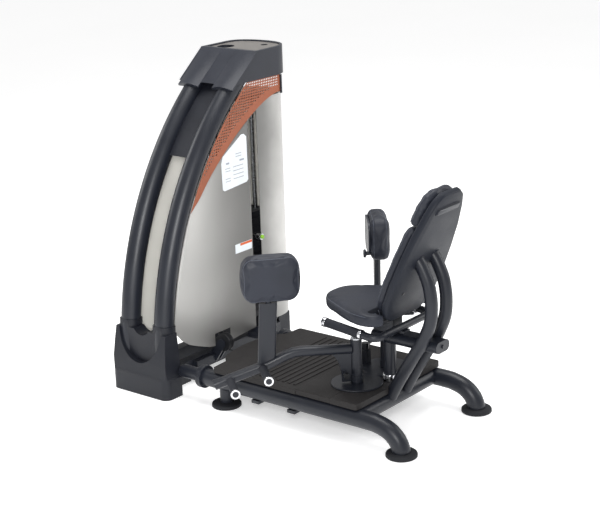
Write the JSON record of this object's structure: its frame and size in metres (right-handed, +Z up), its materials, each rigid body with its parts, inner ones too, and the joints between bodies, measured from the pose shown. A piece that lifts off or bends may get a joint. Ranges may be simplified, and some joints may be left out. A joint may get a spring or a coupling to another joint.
{
  "type": "seated hip abductor and adductor machine",
  "caption": "Seated inner and outer thigh machine: coupled padded swing arms beside a seat with a backrest, driving a guided weight stack in a curved tower.",
  "frame": {"origin": "on the floor under the middle of the machine's outline", "axes": "+Z up, +Y from the seat towards the weight tower, +X to the seated user's right"},
  "size_m": [1.2524, 1.5658, 1.42],
  "materials": {
    "frame": "satin blue-black powder coat",
    "vinyl": "soft grained blue-grey vinyl",
    "plastic": "satin moulded black plastic",
    "deck": "matt dark grey moulded deck",
    "grip": "matt rubber sleeve",
    "rubber": "matt black rubber",
    "chrome": "polished chrome",
    "silver": "satin silver sheet",
    "copper": "satin copper paint",
    "iron": "black painted iron",
    "green": "lime green plastic"
  },
  "bodies": {
    "base": {"side_rail_left": "frame", "side_rail_right": "frame", "rear_cross_tube": "frame", "base_spine": "frame", "tower_link_left": "frame", "tower_link_right": "frame", "rear_cover": "plastic", "middle_cover": "deck", "footplate": "deck", "pivot_shaft_left": "chrome", "pivot_shaft_right": "chrome", "pivot_plate": "plastic", "seat_beam": "frame", "seat_cushion": "vinyl", "handle_grip_left": "grip", "handle_grip_right": "grip", "handle_frame": "frame", "back_shell": "plastic", "back_cushion": "vinyl", "headrest_cushion": "vinyl", "back_tube_left": "frame", "back_tube_right": "frame", "tower_tube_front": "frame", "tower_tube_rear": "frame", "tower_base": "plastic", "tower_floor_frame": "frame", "tower_head_frame": "frame", "tower_end_foot": "plastic", "tower_cap": "plastic", "shroud_front": "silver", "shroud_front_end": "silver", "shroud_rear": "silver", "vent_panel_front": "copper", "vent_panel_rear": "copper", "spine_panel": "plastic", "weight_plates": "iron", "guide_rod_left": "chrome", "guide_rod_right": "chrome", "lift_cable": "rubber"},
    "arm_left": {"swing_arm_left": "frame", "peg_grip_inner_left": "grip", "peg_grip_outer_left": "grip", "pad_post_left": "frame"},
    "pad_left": {"thigh_pad_left": "vinyl", "pad_back_left": "plastic"},
    "pin_left": {"range_pin_left": "chrome"},
    "arm_right": {"swing_arm_right": "frame", "peg_grip_inner_right": "grip", "peg_grip_outer_right": "grip", "pad_post_right": "frame"},
    "pad_right": {"thigh_pad_right": "vinyl", "pad_back_right": "plastic"},
    "pin_right": {"range_pin_right": "chrome"},
    "stack": {"lifted_weights": "iron", "head_cable": "rubber"},
    "selector": {"selector_pin": "green"},
    "pulley_low": {"lower_pulley": "plastic"},
    "pulley_top": {"top_pulley": "plastic"},
    "lever": {"range_lever": "frame"}
  },
  "joints": [
    {"name": "right_arm_swing", "type": "hinge", "parent": "base", "child": "arm_right", "pos_m": [0.104, -0.378, 0.25], "axis": [0, 0, 1], "range_deg": [0, 50]},
    {"name": "left_arm_swing", "type": "hinge", "parent": "base", "child": "arm_left", "pos_m": [-0.104, -0.378, 0.25], "axis": [0, 0, -1], "range_deg": [0, 50]},
    {"name": "right_pad_swivel", "type": "hinge", "parent": "arm_right", "child": "pad_right", "pos_m": [0.37268, -0.14444, 0.6], "axis": [0, 0, 1], "range_deg": [0, 180]},
    {"name": "right_range_pin_pull", "type": "slide", "parent": "arm_right", "child": "pin_right", "axis": [0.6561, -0.7547, 0], "range_m": [0, 0.012], "stiffness_N_per_m": 800, "springref_m": -0.004},
    {"name": "left_pad_swivel", "type": "hinge", "parent": "arm_left", "child": "pad_left", "pos_m": [-0.37268, -0.14444, 0.6], "axis": [0, 0, -1], "range_deg": [0, 180]},
    {"name": "left_range_pin_pull", "type": "slide", "parent": "arm_left", "child": "pin_left", "axis": [-0.6561, -0.7547, 0], "range_m": [0, 0.012], "stiffness_N_per_m": 800, "springref_m": -0.004},
    {"name": "stack_lift", "type": "slide", "parent": "base", "child": "stack", "axis": [0, 0, 1], "range_m": [0, 0.0685], "deforming": ["head_cable"]},
    {"name": "selector_pull", "type": "slide", "parent": "stack", "child": "selector", "axis": [0, -1, 0], "range_m": [0, 0.16]},
    {"name": "lower_pulley_spin", "type": "hinge", "parent": "base", "child": "pulley_low", "pos_m": [0.01, 0.443, 0.158], "axis": [-1, 0, 0], "range_deg": [0, 116]},
    {"name": "top_pulley_spin", "type": "hinge", "parent": "base", "child": "pulley_top", "pos_m": [0.263, 0.613, 1.215], "axis": [0, -1, 0], "range_deg": [0, 94]},
    {"name": "range_lever_turn", "type": "hinge", "parent": "base", "child": "lever", "pos_m": [0.088, -0.282, 0.261], "axis": [0, 0, 1], "range_deg": [0, 20]}
  ],
  "couplings": [
    {"joint": "left_arm_swing", "follows": "right_arm_swing", "ratio": 1},
    {"joint": "stack_lift", "follows": "right_arm_swing", "m_per_rad": 0.078},
    {"joint": "lower_pulley_spin", "follows": "right_arm_swing", "ratio": 2.294},
    {"joint": "top_pulley_spin", "follows": "right_arm_swing", "ratio": 1.857}
  ]
}
